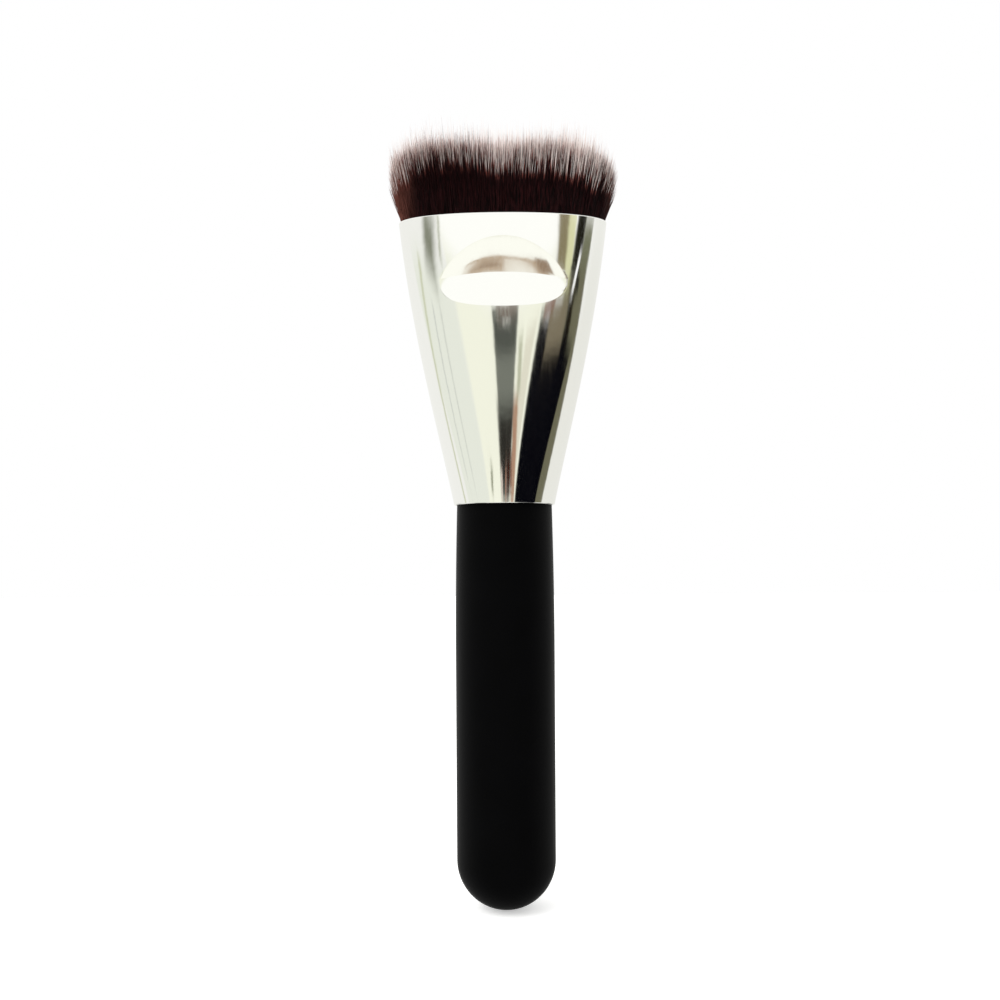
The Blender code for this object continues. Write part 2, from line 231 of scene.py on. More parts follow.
world = bpy.data.worlds.new("studio")
scene.world = world
world.use_nodes = True
air = world.node_tree
air.nodes.clear()
way = add_node(air, "ShaderNodeTexCoord").outputs["Generated"]
split = add_node(air, "ShaderNodeSeparateXYZ", {0: way})
near = add_node(air, "ShaderNodeMath", {0: split.outputs["Y"], 1: -1}, operation="MULTIPLY")
turn = add_node(air, "ShaderNodeMath", {0: split.outputs["X"], 1: near}, operation="ARCTAN2")
rise = add_node(air, "ShaderNodeMath", {0: split.outputs["Z"]}, operation="ARCSINE")
azimuth = add_node(air, "ShaderNodeMath", {0: turn}, operation="DEGREES")
elevation = add_node(air, "ShaderNodeMath", {0: rise}, operation="DEGREES")
spot = add_node(air, "ShaderNodeCombineXYZ", {"X": azimuth, "Y": elevation})

room = add_node(air, "ShaderNodeRGB")
room.outputs[0].default_value = ROOM_COLOUR
for name, middle_x, middle_y, half_width, half_height, edge, lean, slope, colour in CARDS:
    off = add_node(air, "ShaderNodeVectorMath", {0: spot, 1: (middle_x, middle_y, 0)}, operation="SUBTRACT")
    off = add_node(air, "ShaderNodeSeparateXYZ", {0: off})
    off_x, off_y = off.outputs["X"], off.outputs["Y"]
    across = add_node(air, "ShaderNodeMath", {0: off_y, 1: -lean, 2: off_x}, operation="MULTIPLY_ADD")
    along = add_node(air, "ShaderNodeMath", {0: off_x, 1: -slope, 2: off_y}, operation="MULTIPLY_ADD")
    away = add_node(air, "ShaderNodeCombineXYZ", {"X": across, "Y": along})
    away = add_node(air, "ShaderNodeVectorMath", {0: away}, operation="ABSOLUTE")
    past = {0: away, 1: (half_width, half_height, 0)}
    past = add_node(air, "ShaderNodeVectorMath", past, operation="SUBTRACT")
    past = add_node(air, "ShaderNodeSeparateXYZ", {0: past})
    furthest = {0: past.outputs["X"], 1: past.outputs["Y"]}
    furthest = add_node(air, "ShaderNodeMath", furthest, operation="MAXIMUM")
    cover = {"Value": furthest, "From Min": edge / 2, "From Max": -edge / 2}
    cover = add_node(air, "ShaderNodeMapRange", cover, interpolation_type="SMOOTHSTEP")
    layer = {"Factor": cover, "A": room, "B": linear(colour)}
    room = add_node(air, "ShaderNodeMix", data_type="RGBA", label=name)
    plug(air, room, layer)

rays = add_node(air, "ShaderNodeLightPath")
cards = add_node(air, "ShaderNodeBackground", {"Color": room, "Strength": ROOM_STRENGTH})
tent = add_node(air, "ShaderNodeBackground", {"Color": WHITE, "Strength": SOFT_LIGHT_STRENGTH})
paper = add_node(air, "ShaderNodeBackground", {"Color": WHITE, "Strength": 1})
lit = add_node(air, "ShaderNodeMixShader", {0: rays.outputs["Is Glossy Ray"], 1: tent, 2: cards})
seen = add_node(air, "ShaderNodeMixShader", {0: rays.outputs["Is Camera Ray"], 1: lit, 2: paper})
add_node(air, "ShaderNodeOutputWorld", {"Surface": seen})
print("nodes in the world:", len(air.nodes))

# %% [markdown]
# One large soft lamp stands high on the left, as in a small product studio. It gives the tuft
# a lit side and the floor a shadow. The floor is pale paper. It would render a little grey
# under this plain light, so a faint glow that matte surfaces don't see lifts it to white, and
# the shadow stays in it. The chrome sees neither lamp nor floor, since the cards hold them.

# %% Lamp and floor
LAMP_SIZE = 400 * MM
LAMP_PLACE = Vector((-350 * MM, -300 * MM, 420 * MM))
LAMP_WATTS = 2
FLOOR_HALF = 1500 * MM
FLOOR_GLOW = 0.45
PAPER_GRAIN = 2 * MM

lamp_data = bpy.data.lights.new("soft_lamp", "AREA")
lamp_data.size = LAMP_SIZE
lamp_data.energy = LAMP_WATTS
lamp = bpy.data.objects.new("soft_lamp", lamp_data)
lamp.location = LAMP_PLACE
lamp.rotation_euler = (Vector((0, 0, tuft_low.z)) - LAMP_PLACE).to_track_quat("-Z", "Y").to_euler()
lamp.visible_glossy = False
scene.collection.objects.link(lamp)

studio_paper, tree, shader, place = new_material("pale_studio_paper")
grain = add_node(tree, "ShaderNodeTexNoise", {"Vector": place, "Scale": 1 / PAPER_GRAIN, "Detail": 3})
shade = add_node(tree, "ShaderNodeMix", data_type="RGBA")
plug(tree, shade, {"Factor": grain, "A": linear("#e9e9e7"), "B": linear("#efefed")})
rays = add_node(tree, "ShaderNodeLightPath")
mirrored = {0: rays.outputs["Is Glossy Ray"], 1: rays.outputs["Is Transmission Ray"]}
mirrored = add_node(tree, "ShaderNodeMath", mirrored, operation="ADD")
seen = add_node(tree, "ShaderNodeMath", {0: rays.outputs["Is Camera Ray"], 1: mirrored}, operation="ADD")
glow = add_node(tree, "ShaderNodeMath", {0: seen, 1: FLOOR_GLOW}, operation="MULTIPLY")
plug(tree, shader, {"Base Color": shade, "Roughness": 0.9})
plug(tree, shader, {"Emission Color": WHITE, "Emission Strength": glow})

floor_mesh = bpy.data.meshes.new("floor")
corners = [(x * FLOOR_HALF, y * FLOOR_HALF, 0) for x, y in ((-1, -1), (1, -1), (1, 1), (-1, 1))]
floor_mesh.from_pydata(corners, [], [range(len(corners))])
floor = new_piece("floor", floor_mesh, studio_paper)
floor.visible_glossy = False
print("floor half side, m:", FLOOR_HALF)

# %% [markdown]
# The ferrule's form is a rule, and the pieces inside it follow the same rule. A round tube is
# flared and flattened: its width grows a little faster than a straight cone, and its depth
# shrinks slowly at first. Each section is a superellipse, which is an ellipse whose power is
# slightly over 2 near the mouth, so the ends are fuller. A lens-shaped dimple is pressed into
# the front and the back. Two slopes meet in it at a crease, which bows up in the middle.

# %% Sizes of the ferrule and its dimple
NECK_RADIUS = ferrule_high.y
MOUTH_HALF_WIDTH = ferrule_high.x
MOUTH_HALF_DEPTH = 15.7 * MM / 2
NECK_HEIGHT = ferrule_low.z
MOUTH_HEIGHT = ferrule_high.z
FERRULE_LENGTH = MOUTH_HEIGHT - NECK_HEIGHT
SHEET_WALL = 0.3 * MM
FIT = 0.25 * MM
INNER_FIT = SHEET_WALL + FIT
FLARE_BULGE = 0.42
FLARE_DELAY = 1.5
FLATTENING_DELAY = 2
NECK_POWER = 2
MOUTH_POWER = 2.15

DIMPLE_HALF_WIDTH = 23.8 * MM / 2
DIMPLE_RISE = 6.5 * MM
DIMPLE_FALL = 6.7 * MM
DIMPLE_DEPTH = 1.5 * MM
DIMPLE_HEIGHT = MOUTH_HEIGHT - 12.2 * MM
DIMPLE_BOW = 1.3 * MM
DIMPLE_MARGIN = 0.3 * MM
DIMPLE_FOOT = DIMPLE_HEIGHT + DIMPLE_BOW - DIMPLE_FALL - DIMPLE_MARGIN
DIMPLE_HEAD = DIMPLE_HEIGHT + DIMPLE_BOW + DIMPLE_RISE + DIMPLE_MARGIN
LEAST_ACROSS = 0.1
SETTLING_STEPS = 6
UPPER_POINT, LOWER_POINT = 0.75, 0.40
UPPER_CREASE, LOWER_CREASE = 1.2, 0.3
print("mouth, mm:", in_mm(2 * MOUTH_HALF_WIDTH, 2 * MOUTH_HALF_DEPTH))


# %% The rule of the ferrule
def dimple_at(x, height):
    """Which slope of the pressed lens is here, upper, lower or none, and how deep it is."""
    across = 1 - (x / DIMPLE_HALF_WIDTH) ** 2
    if across <= 0:
        return "none", 0
    above = height - DIMPLE_HEIGHT - DIMPLE_BOW * across
    if above > 0:
        slope, reach, steepness = "upper", DIMPLE_RISE * across**UPPER_POINT, UPPER_CREASE
    else:
        slope, reach, steepness = "lower", DIMPLE_FALL * across**LOWER_POINT, LOWER_CREASE
    away = abs(above) / reach
    if away >= 1:
        return "none", 0
    return slope, DIMPLE_DEPTH * across * (1 - away * (steepness + (1 - steepness) * away))


def half_depth(height):
    share = (height - NECK_HEIGHT) / FERRULE_LENGTH
    return NECK_RADIUS + (MOUTH_HALF_DEPTH - NECK_RADIUS) * share**FLATTENING_DELAY


def sheet_point(angle, height, inset=0):
    """A point on the ferrule's outer face, or inset towards the axis from it."""
    share = (height - NECK_HEIGHT) / FERRULE_LENGTH
    flare = share + FLARE_BULGE * share**FLARE_DELAY * (1 - share)
    width = NECK_RADIUS + (MOUTH_HALF_WIDTH - NECK_RADIUS) * flare
    depth = half_depth(height)
    power = NECK_POWER + (MOUTH_POWER - NECK_POWER) * share
    cosine, sine = math.cos(angle), math.sin(angle)
    along_x = math.copysign(abs(cosine) ** (2 / power), cosine)
    along_y = math.copysign(abs(sine) ** (2 / power), sine)
    normal = Vector((
        math.copysign(abs(along_x) ** (power - 1) / width, cosine),
        math.copysign(abs(along_y) ** (power - 1) / depth, sine),
        0,
    )).normalized()
    point = Vector((width * along_x, depth * along_y, height)) - inset * normal
    point.y -= math.copysign(dimple_at(point.x, height)[1], point.y)
    return point


print("half depth at the dimple, mm:", in_mm(half_depth(DIMPLE_HEIGHT)))


# %% Rings that follow the dimple's folds
def spread(start, end, count):
    """Count values from start to end, both ends included."""
    return [start + (end - start) * i / (count - 1) for i in range(count)]


def even_angles(count):
    return [math.tau * i / count for i in range(count)]


def fold_heights(x):
    """How high the dimple's foot, lower edge, crease, upper edge and head are at this x.

    Beside the dimple its folds go on level and a little apart, so that no rings meet there."""
    across = max(LEAST_ACROSS, 1 - (x / DIMPLE_HALF_WIDTH) ** 2)
    crease = DIMPLE_HEIGHT + DIMPLE_BOW * across
    lower_edge = crease - DIMPLE_FALL * across**LOWER_POINT
    upper_edge = crease + DIMPLE_RISE * across**UPPER_POINT
    return DIMPLE_FOOT, lower_edge, crease, upper_edge, DIMPLE_HEAD


def ring_point(angle, height, inset):
    """A point of the ring that has this height in the middle. Rings bend to follow the folds.

    A point's height and its x depend on each other, so both settle in a few steps."""
    middle, own = fold_heights(0), height
    for low, high, i in zip(middle, middle[1:], range(len(middle))):
        if low <= height <= high:
            for _ in range(SETTLING_STEPS):
                here = fold_heights(sheet_point(angle, own, inset).x)
                own = here[i] + (here[i + 1] - here[i]) * (height - low) / (high - low)
    return sheet_point(angle, own, inset)


print("folds in the middle, mm:", in_mm(*fold_heights(0)))


# %% A skin over the rings
def skin_mesh(name, outline, round_steps, closed=False):
    """Skin the ferrule's sections, one for each height and inset. An open skin gets two ends.

    The upper slope's edges are folds, so they are marked sharp."""
    bm = bmesh.new()
    rows = []
    for height, inset in outline:
        ring = [ring_point(angle, height, inset) for angle in even_angles(round_steps)]
        rows.append([bm.verts.new(point) for point in ring])
    pairs = list(zip(rows, rows[1:]))
    if closed:
        pairs.append((rows[-1], rows[0]))
    else:
        bm.faces.new(reversed(rows[0]))
        bm.faces.new(rows[-1])
    for lower, upper in pairs:
        for i in range(round_steps):
            j = (i + 1) % round_steps
            bm.faces.new((lower[i], lower[j], upper[j], upper[i]))
    for face in bm.faces:
        face.smooth = True
    bmesh.ops.recalc_face_normals(bm, faces=bm.faces)
    for edge in bm.edges:
        middles = [face.calc_center_median() for face in edge.link_faces]
        slopes = {dimple_at(middle.x, middle.z)[0] for middle in middles}
        edge.smooth = len(slopes) == 1 or "upper" not in slopes
    mesh = bpy.data.meshes.new(name)
    bm.to_mesh(mesh)
    bm.free()
    return mesh


print("ready to skin rings")

# %% [markdown]
# The ferrule is thin brass sheet, drawn and pressed, then plated with bright chrome. A mirror
# shows each fault in its mesh, so it gets far more rings than the solid has. The closest ones
# lie over the dimple and bend to follow its folds. It could be an open surface with a Solidify
# modifier. Here the rings run up the outside, over the lip, down the inside and back round the
# neck, so that both lips are round, as the edge of rolled sheet is.

# %% Rings of the ferrule
FERRULE_ROUND_STEPS = 480
OUTSIDE_RINGS = (36, 12, 36, 44, 20, 8)
INSIDE_RINGS = (8, 3, 6, 8, 4, 3)
LIP_STEPS = 6
HOLD = 0.05 * MM

LIP_RADIUS = SHEET_WALL / 2
sheet_low, sheet_high = NECK_HEIGHT + LIP_RADIUS, MOUTH_HEIGHT - LIP_RADIUS


def ring_heights(counts):
    """The rings' heights from lip to lip, with a count for each zone between two folds."""
    heights = [sheet_low]
    marks = (sheet_low + HOLD, *fold_heights(0), sheet_high - HOLD)
    for start, end, count in zip(marks, marks[1:], counts):
        heights += spread(start, end, count + 1)[:-1]
    return [*heights, marks[-1], sheet_high]


def lip_rings(height, way):
    """The rings over the mouth's lip, with way 1, or back under the neck's, with way -1."""
    turns = [math.pi * i / LIP_STEPS for i in range(1, LIP_STEPS)]
    up = [height + way * LIP_RADIUS * math.sin(turn) for turn in turns]
    return list(zip(up, [LIP_RADIUS * (1 - way * math.cos(turn)) for turn in turns]))


ferrule_outline = [(height, 0) for height in ring_heights(OUTSIDE_RINGS)]
ferrule_outline += lip_rings(sheet_high, 1)
ferrule_outline += [(height, SHEET_WALL) for height in reversed(ring_heights(INSIDE_RINGS))]
ferrule_outline += lip_rings(sheet_low, -1)
print("rings of the ferrule:", len(ferrule_outline))

# %% Chrome, and the ferrule
# Chromed brass. The plating is bright and nearly colourless, with very fine draw lines.
chrome, tree, shader, place = new_material("bright_chrome_plate")
DRAW_LINE_WIDTH = 0.35 * MM
DRAW_LINE_STRETCH = 25
RIPPLE_SIZE = 2.2 * MM
RIPPLE_HEIGHT = 0.004 * MM
stretch = add_node(tree, "ShaderNodeMapping", {"Vector": place, "Scale": (1, 1, 1 / DRAW_LINE_STRETCH)})
lines = add_node(tree, "ShaderNodeTexNoise", {"Vector": stretch, "Scale": 1 / DRAW_LINE_WIDTH, "Detail": 2})
polish = add_node(tree, "ShaderNodeMapRange", {"Value": lines, "To Min": 0.03, "To Max": 0.10})
ripple = add_node(tree, "ShaderNodeTexNoise", {"Vector": place, "Scale": 1 / RIPPLE_SIZE, "Detail": 1})
waves = add_node(tree, "ShaderNodeBump", {"Height": ripple, "Strength": 1, "Distance": RIPPLE_HEIGHT})
plug(tree, shader, {"Base Color": linear("#f6f6f3"), "Metallic": 1, "Roughness": polish, "Normal": waves})

ferrule_mesh = skin_mesh("ferrule_sheet", ferrule_outline, FERRULE_ROUND_STEPS, closed=True)
ferrule = new_piece("ferrule_sheet", ferrule_mesh, chrome)
belongs(ferrule, "ferrule")
print("ferrule faces:", len(ferrule.data.polygons))

# %% [markdown]
# The handle is turned hardwood under matte black lacquer. A lathe carries an outline round a
# circle, and a small node tree does the same here: the outline is one curve, the circle is
# another, and Curve to Mesh sweeps the first along the second. The outline's x is measured from
# the circle, so the circle's radius is taken off it, and Curve to Mesh draws y downwards, so
# heights are negative. The part above the shoulder is the tenon, whose two grooves key the
# adhesive. The ferrule hides it.

# %% Outline of the handle
BELLY_RADIUS = handle_high.x
HANDLE_LENGTH = NECK_HEIGHT
TENON_TOP = handle_high.z
TAPER_LENGTH = 29 * MM
TAPER_POWER = 2
LAND_HEIGHT = 3 * MM
TENON_CHAMFER = 0.7 * MM
GROOVE_WIDTH = 2 * MM
GROOVE_DEPTH = 0.6 * MM
GROOVE_COUNT = 2
ADHESIVE_WALL = 0.5 * MM
TAPER_STEPS = 40
END_ARC_STEPS = 40

tenon_radius = half_depth(TENON_TOP) - INNER_FIT - ADHESIVE_WALL - FIT
land_top = HANDLE_LENGTH + LAND_HEIGHT
neck_radius = NECK_RADIUS - INNER_FIT
handle_outline = [
    (0, TENON_TOP),
    (tenon_radius - TENON_CHAMFER, TENON_TOP),
    (tenon_radius, TENON_TOP - TENON_CHAMFER),
]
for i in range(GROOVE_COUNT):
    middle = TENON_TOP - (TENON_TOP - land_top) * (i + 1) / (GROOVE_COUNT + 1)
    above, below = middle + GROOVE_WIDTH / 2, middle - GROOVE_WIDTH / 2
    handle_outline += [(tenon_radius, above), (tenon_radius - GROOVE_DEPTH, above)]
    handle_outline += [(tenon_radius - GROOVE_DEPTH, below), (tenon_radius, below)]
handle_outline += [(tenon_radius, land_top), (half_depth(land_top) - INNER_FIT, land_top)]
for share in spread(1, 0, TAPER_STEPS):
    radius = BELLY_RADIUS + (neck_radius - BELLY_RADIUS) * share**TAPER_POWER
    handle_outline.append((radius, HANDLE_LENGTH - TAPER_LENGTH * (1 - share)))
for angle in spread(0, math.pi / 2, END_ARC_STEPS):
    handle_outline.append((BELLY_RADIUS * math.cos(angle), BELLY_RADIUS * (1 - math.sin(angle))))
print("points in the handle's outline:", len(handle_outline))

# %% Helpers for Geometry Nodes
WELD_DISTANCE = 0.001 * MM


def new_tree(name, inputs):
    """A tree with named inputs. Returns it, each input's identifier, and the inputs' sockets."""
    tree = bpy.data.node_groups.new(name, "GeometryNodeTree")
    tree.interface.new_socket("Geometry", in_out="INPUT", socket_type="NodeSocketGeometry")
    tree.interface.new_socket("Geometry", in_out="OUTPUT", socket_type="NodeSocketGeometry")
    named = {}
    for label, kind, value in inputs:
        socket = tree.interface.new_socket(label, in_out="INPUT", socket_type="NodeSocket" + kind)
        socket.default_value = value
        named[label] = socket.identifier
    return tree, named, add_node(tree, "NodeGroupInput").outputs


def finish_tree(tree, geometry, material):
    """End a tree: make every instance real, set the material and hand the mesh out."""
    smooth = add_node(tree, "GeometryNodeSetShadeSmooth", {"Geometry": geometry})
    real = add_node(tree, "GeometryNodeRealizeInstances", {"Geometry": smooth})
    painted = add_node(tree, "GeometryNodeSetMaterial", {"Geometry": real, "Material": material})
    add_node(tree, "NodeGroupOutput", {0: painted})


def grow(name, start_mesh, tree, named, values, material):
    """Run a tree on a mesh with these inputs, and keep the result as a plain mesh."""
    starter = bpy.data.objects.new(name + "_start", start_mesh)
    scene.collection.objects.link(starter)
    modifier = starter.modifiers.new("nodes", "NODES")
    modifier.node_group = tree
    for label, value in values.items():
        modifier[named[label]] = value
    evaluated = starter.evaluated_get(bpy.context.evaluated_depsgraph_get())
    mesh = bpy.data.meshes.new_from_object(evaluated)
    mesh.name = name
    starter.modifiers.remove(modifier)
    bpy.data.objects.remove(starter)
    return new_piece(name, mesh, material)


def line_mesh(name, points):
    """Points joined by edges, for a tree that turns them into a curve."""
    mesh = bpy.data.meshes.new(name)
    mesh.from_pydata(points, [(i, i + 1) for i in range(len(points) - 1)], [])
    return mesh


print("helpers for trees are ready")

# %% Black lacquer
# Matte lacquer, sprayed over turned wood. It has a fine orange peel, and it scatters light at
# its edges into a soft grey sheen.
lacquer, tree, shader, place = new_material("matte_black_lacquer")
PEEL_SIZE = 0.5 * MM
PEEL_HEIGHT = 0.006 * MM
SMUDGE_SIZE = 9 * MM
peel = add_node(tree, "ShaderNodeTexNoise", {"Vector": place, "Scale": 1 / PEEL_SIZE, "Detail": 2})
smudge = add_node(tree, "ShaderNodeTexNoise", {"Vector": place, "Scale": 1 / SMUDGE_SIZE, "Detail": 2})
dull = add_node(tree, "ShaderNodeMapRange", {"Value": smudge, "To Min": 0.40, "To Max": 0.52})
pores = add_node(tree, "ShaderNodeBump", {"Height": peel, "Strength": 1, "Distance": PEEL_HEIGHT})
tint = add_node(tree, "ShaderNodeMix", data_type="RGBA")
plug(tree, tint, {"Factor": smudge, "A": linear("#030303"), "B": linear("#060607")})
plug(tree, shader, {"Base Color": tint, "Roughness": dull, "Normal": pores, "Specular IOR Level": 0.012})
plug(tree, shader, {"Sheen Weight": 0.07, "Sheen Roughness": 0.4})
print("orange peel, mm:", in_mm(PEEL_SIZE))

# %% The turned handle
LATHE_STEPS = 128
CREASE_ANGLE = math.radians(30)

lathe, lathe_inputs, given = new_tree("lathe", [
    ("Steps", "Int", LATHE_STEPS),
    ("Circle Radius", "Float", BELLY_RADIUS),
])
circle = {"Resolution": given["Steps"], "Radius": given["Circle Radius"]}
circle = add_node(lathe, "GeometryNodeCurvePrimitiveCircle", circle)
knife = add_node(lathe, "GeometryNodeMeshToCurve", {"Mesh": given["Geometry"]})
turned = add_node(lathe, "GeometryNodeCurveToMesh", {"Curve": circle, "Profile Curve": knife})
closed = add_node(lathe, "GeometryNodeMergeByDistance", {"Geometry": turned, "Distance": WELD_DISTANCE})
finish_tree(lathe, closed, lacquer)

knife_path = line_mesh("handle_outline", [(r - BELLY_RADIUS, -height, 0) for r, height in handle_outline])
handle = grow("turned_handle", knife_path, lathe, lathe_inputs, {"Steps": LATHE_STEPS}, lacquer)
handle.data.set_sharp_from_angle(angle=CREASE_ANGLE)
belongs(handle, "handle")
print("handle box, mm:", in_mm(*handle.bound_box[0], *handle.bound_box[6]))

# %% [markdown]
# Inside the ferrule, the tuft is packed into a solid root. Wound thread draws it in near the
# foot, and resin holds it below. Nobody sees this from outside, but the piece is part of the
# brush, so it gets its real form too: the same rule with the inner fit, a waist under the
# thread, and a streaky material, since thousands of parallel fibres show as fine streaks.

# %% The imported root
THREAD_DIAMETER = 0.5 * MM
ROOT_FOOT = tuft_low.z
ROOT_SINK = 0.8 * MM
ROOT_TOP = MOUTH_HEIGHT - ROOT_SINK
WAIST_LOW = thread_low.z - FIT
WAIST_HIGH = thread_high.z + FIT
WAIST_INSET = INNER_FIT + THREAD_DIAMETER + 2 * FIT
ROOT_ROUND_STEPS = 160
ROOT_RINGS = 24

root_outline = [(ROOT_FOOT, INNER_FIT), (WAIST_LOW, INNER_FIT)]
root_outline += [(WAIST_LOW, WAIST_INSET), (WAIST_HIGH, WAIST_INSET)]
root_outline += [(height, INNER_FIT) for height in spread(WAIST_HIGH, ROOT_TOP, ROOT_RINGS)]

# Dyed fibres, side by side, soaked with glue at the foot.
root_hair, tree, shader, place = new_material("packed_fibre_root")
STREAK_WIDTH = 0.25 * MM
STREAK_HEIGHT = 0.05 * MM
ROOT_STREAK_STRETCH = 50
stretch = add_node(tree, "ShaderNodeMapping", {"Vector": place, "Scale": (1, 1, 1 / ROOT_STREAK_STRETCH)})
streaks = add_node(tree, "ShaderNodeTexNoise", {"Vector": stretch, "Scale": 1 / STREAK_WIDTH, "Detail": 2})
tint = add_node(tree, "ShaderNodeMix", data_type="RGBA")
plug(tree, tint, {"Factor": streaks, "A": linear("#0c0405"), "B": linear("#3a1a18")})
ridges = add_node(tree, "ShaderNodeBump", {"Height": streaks, "Strength": 0.6, "Distance": STREAK_HEIGHT})
plug(tree, shader, {"Base Color": tint, "Roughness": 0.6, "Normal": ridges})

root = new_piece("tuft_root", skin_mesh("tuft_root", root_outline, ROOT_ROUND_STEPS), root_hair)
root.data.set_sharp_from_angle(angle=CREASE_ANGLE)
belongs(root, "bristle_tuft")
print("root height, mm:", in_mm(ROOT_TOP - ROOT_FOOT))

# %% [markdown]
# The fibres are the hardest part to place by hand and the easiest to describe by a rule. They
# are drawn synthetic filament, about a tenth of a millimetre thick, dyed dark brown, with tips
# that are tapered and left pale. A tree of nodes does this:
#
# 1. Points are scattered over the oval top of the root, each the foot of one fibre.
# 2. A second, coarser scatter gives the centres of small locks. Each fibre finds its nearest
#    centre, leans to it and shares draws with its lock, so that tips gather as real hair does.
# 3. A fibre's length follows a skyline across the width, is less near the rim, and varies.
# 4. The height that the dye reaches follows its own line across the width, and varies by lock.
#    As a share of the fibre's length, in whole steps, it is the fibre's tint.
# 5. A unit strand is put on each point, made real, and each of its points moves to its place.
# 6. Curve to Mesh gives the strand three sides that taper, and a UV map is stored: across the
#    map go the tints, and up it goes the share of the length, for the material to read.

# %% The fibre's material
TINT_COUNT = 96
UV_NAME = "OFBake"
LEAST_DYED_SHARE, MOST_DYED_SHARE = 0.3, 0.9
BROWN_FADE = (0, 0.10)
PALE_FADE = (0.08, 0.13)
FIBRE_STREAK_STRETCH = 25
# Where the painted glow of light through the tuft's sides lies: its shift to the left, and where it starts
# and ends.
BACKLIGHT_SHIFT = 1.5 * MM
BACKLIGHT_START = 17 * MM
BACKLIGHT_END = 22 * MM

# Dyed synthetic filament with bleached, tapered tips. Near the foot it is almost black. At the
# two sides a brown glow is painted into the base colour. It is painted light, standing for light
# that shines through the tuft where few fibres lie behind each other, and more of it is painted
# on the left, where the lamp stands. Where the dye ends, the fibre fades to brown and then to its
# pale tip. Each fade has a start past that point and a width, as shares of the fibre's length.
fibre, tree, shader, place = new_material("dyed_tapered_filament")
map_place = add_node(tree, "ShaderNodeUVMap", uv_map=UV_NAME)
axes = add_node(tree, "ShaderNodeSeparateXYZ", {0: map_place})
tint_step = add_node(tree, "ShaderNodeMath", {0: axes.outputs["X"], 1: TINT_COUNT}, operation="MULTIPLY")
tint_step = add_node(tree, "ShaderNodeMath", {0: tint_step}, operation="FLOOR")
tint_share = add_node(tree, "ShaderNodeMath", {0: tint_step, 1: TINT_COUNT}, operation="DIVIDE")
chance = add_node(tree, "ShaderNodeTexWhiteNoise", {"W": tint_step}, noise_dimensions="1D")
stretch = add_node(tree, "ShaderNodeMapping", {"Vector": place, "Scale": (1, 1, 1 / FIBRE_STREAK_STRETCH)})
streaks = add_node(tree, "ShaderNodeTexNoise", {"Vector": stretch, "Scale": 1 / STREAK_WIDTH, "Detail": 1})
streaks = {"Value": streaks, "From Min": 0.35, "From Max": 0.75}
streaks = add_node(tree, "ShaderNodeMapRange", streaks)
dark = add_node(tree, "ShaderNodeMix", data_type="RGBA")
plug(tree, dark, {"Factor": streaks, "A": linear("#0c0304"), "B": linear("#301012")})
# Painted light: a brown glow for light shining through the tuft's sides is mixed into the base colour, more
# on the left, where the lamp stands.
sideways = add_node(tree, "ShaderNodeSeparateXYZ", {0: place})
from_middle = {0: sideways.outputs["X"], 1: BACKLIGHT_SHIFT}
from_middle = add_node(tree, "ShaderNodeMath", from_middle, operation="SUBTRACT")
from_middle = add_node(tree, "ShaderNodeMath", {0: from_middle}, operation="ABSOLUTE")
painted_backlight = {"Value": from_middle, "From Min": BACKLIGHT_START, "From Max": BACKLIGHT_END}
painted_backlight = add_node(tree, "ShaderNodeMapRange", painted_backlight, interpolation_type="SMOOTHSTEP")
body = add_node(tree, "ShaderNodeMix", data_type="RGBA")
plug(tree, body, {"Factor": painted_backlight, "A": dark, "B": linear("#663d34")})
pale = add_node(tree, "ShaderNodeMix", data_type="RGBA")
plug(tree, pale, {"Factor": chance, "A": linear("#f6e4dc"), "B": linear("#fff8f4")})
fade_from = {"Value": tint_share, "To Min": LEAST_DYED_SHARE, "To Max": MOST_DYED_SHARE}
fade_from = add_node(tree, "ShaderNodeMapRange", fade_from)
hue = body
for (start, width), colour in ((BROWN_FADE, linear("#8e5047")), (PALE_FADE, pale)):
    faded_from = add_node(tree, "ShaderNodeMath", {0: fade_from, 1: start}, operation="ADD")
    faded_to = add_node(tree, "ShaderNodeMath", {0: faded_from, 1: width}, operation="ADD")
    fade = {"Value": axes.outputs["Y"], "From Min": faded_from, "From Max": faded_to}
    fade = add_node(tree, "ShaderNodeMapRange", fade, interpolation_type="SMOOTHSTEP")
    layer = {"Factor": fade, "A": hue, "B": colour}
    hue = add_node(tree, "ShaderNodeMix", data_type="RGBA")
    plug(tree, hue, layer)
plug(tree, shader, {"Base Color": hue, "Roughness": 0.5, "Specular IOR Level": 0.1})
print("least and most dyed share:", LEAST_DYED_SHARE, MOST_DYED_SHARE)

# %% Sizes of the fibres
FIBRE_SIDES = 3
FIBRE_SEGMENTS = 4
FIBRE_RADIUS = 0.055 * MM
LONGEST_SHARE = 1.27
FIBRE_LENGTH = (tuft_high.z - ROOT_TOP) * LONGEST_SHARE
FIBRES_PER_PIECE = 8000
TUFT_PIECES = 6
LOCK_SPACING = 0.25 * MM
LOCK_TRIES = 4
TIP_SWAY = 0.45 * MM
MAP_MARGIN = 0.1

# High powers keep a loss of length to the rim of the tuft, or to a few locks.
SIDE_POWER = 8
FRONT_POWER = 4
LOCK_POWER = 2.5

# Points of three curves: the tuft's skyline, the spread of lengths and the top of the dye
SKYLINE = [(0, 0.95), (0.1, 0.99), (0.25, 1), (0.5, 0.96), (0.74, 0.99), (0.9, 0.94), (1, 0.86)]
LENGTHS = [(0, 1), (0.06, 0.86), (0.25, 0.78), (0.5, 0.72), (0.75, 0.66), (1, 0.56)]
DYE_LINE = [(0, 0.20), (0.12, 0.32), (0.28, 0.39), (0.42, 0.34), (0.5, 0.29)]
DYE_LINE += [(0.62, 0.30), (0.72, 0.31), (0.85, 0.24), (1, 0.20)]

